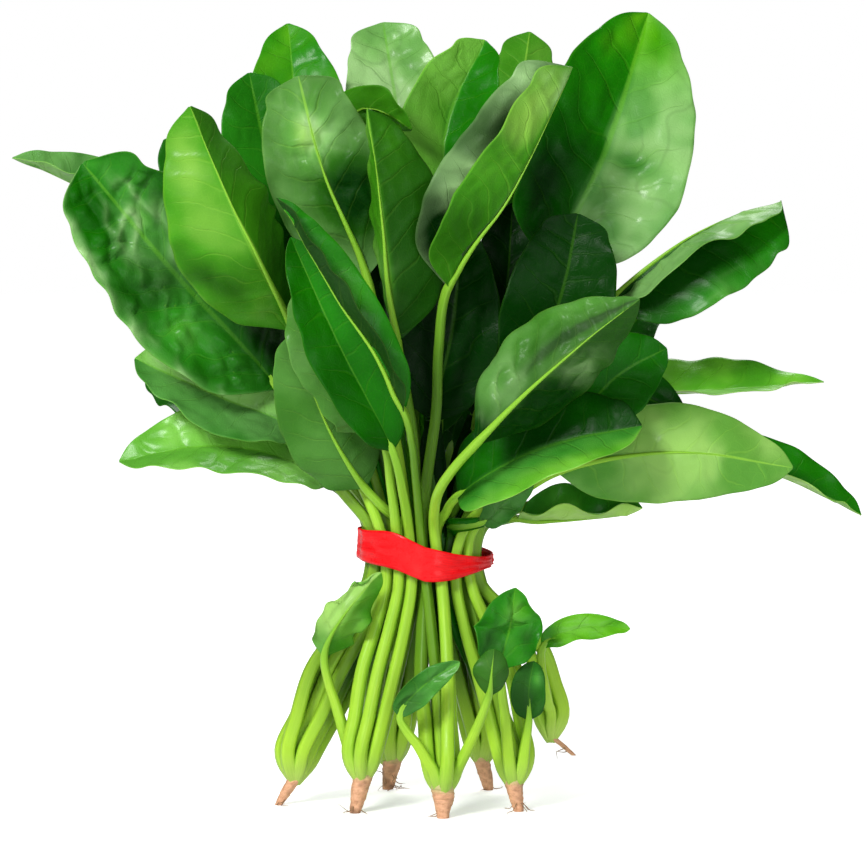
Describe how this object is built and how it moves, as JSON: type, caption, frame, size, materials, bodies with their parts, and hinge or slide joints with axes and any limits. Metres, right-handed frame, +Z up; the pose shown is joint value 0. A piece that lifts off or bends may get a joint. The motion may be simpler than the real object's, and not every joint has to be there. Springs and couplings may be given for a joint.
{
  "type": "spinach bunch",
  "caption": "Bunch of whole spinach plants stood on their trimmed roots, stalks drawn together by one red band, broad leaf blades fanning out above.",
  "frame": {"origin": "centre of the bounding box in X and Y, on the level that the cut roots stand on", "axes": "+X across the bunch to the right, +Y to the back, +Z up from the roots to the leaf tips"},
  "size_m": [0.3604, 0.2365, 0.3375],
  "materials": {
    "leaf": "glossy blistered leaf",
    "small_leaf": "glossy young leaf",
    "crown": "matt root skin",
    "band": "glossy thin strip"
  },
  "bodies": {
    "root": {"leaf_far_left": "leaf", "leaf_left_blistered": "leaf", "leaf_left_smooth": "leaf", "leaf_left_behind": "leaf", "leaf_top_left": "leaf", "leaf_top_left_dark": "leaf", "leaf_olive": "leaf", "leaf_centre_ridge": "leaf", "leaf_narrow_fold": "leaf", "leaf_dark_strip": "leaf", "leaf_ragged": "leaf", "leaf_grey_oval": "leaf", "leaf_left_cupped": "leaf", "leaf_left_low": "leaf", "leaf_top_pale": "leaf", "leaf_small_curl": "leaf", "leaf_top_fold": "leaf", "leaf_top_small": "leaf", "leaf_silver_twist": "leaf", "leaf_top_right": "leaf", "leaf_dark_inner": "leaf", "leaf_right_upper": "leaf", "leaf_front_ridge": "leaf", "leaf_right_round": "leaf", "leaf_right_dark": "leaf", "leaf_front_cup": "leaf", "leaf_right_pale": "leaf", "leaf_right_far": "leaf", "leaf_right_thin": "leaf", "leaf_right_low": "leaf", "leaf_neck_crumpled": "leaf", "leaf_heart_left": "leaf", "leaf_heart_mid": "leaf", "leaf_heart_right": "leaf", "leaf_back_1": "leaf", "leaf_back_2": "leaf", "leaf_back_3": "leaf", "leaf_back_4": "leaf", "leaf_back_5": "leaf", "leaf_back_6": "leaf", "leaf_back_7": "leaf", "leaf_back_8": "leaf", "leaf_back_9": "leaf", "small_leaf_left": "small_leaf", "small_leaf_front": "small_leaf", "small_leaf_right": "small_leaf", "small_leaf_pointing": "small_leaf", "small_leaf_curled": "small_leaf", "small_leaf_edge": "small_leaf", "plant_1_crown": "crown", "plant_2_crown": "crown", "plant_3_crown": "crown", "plant_4_crown": "crown", "plant_5_crown": "crown", "plant_6_crown": "crown", "plant_7_crown": "crown", "band": "band"}
  },
  "joints": []
}
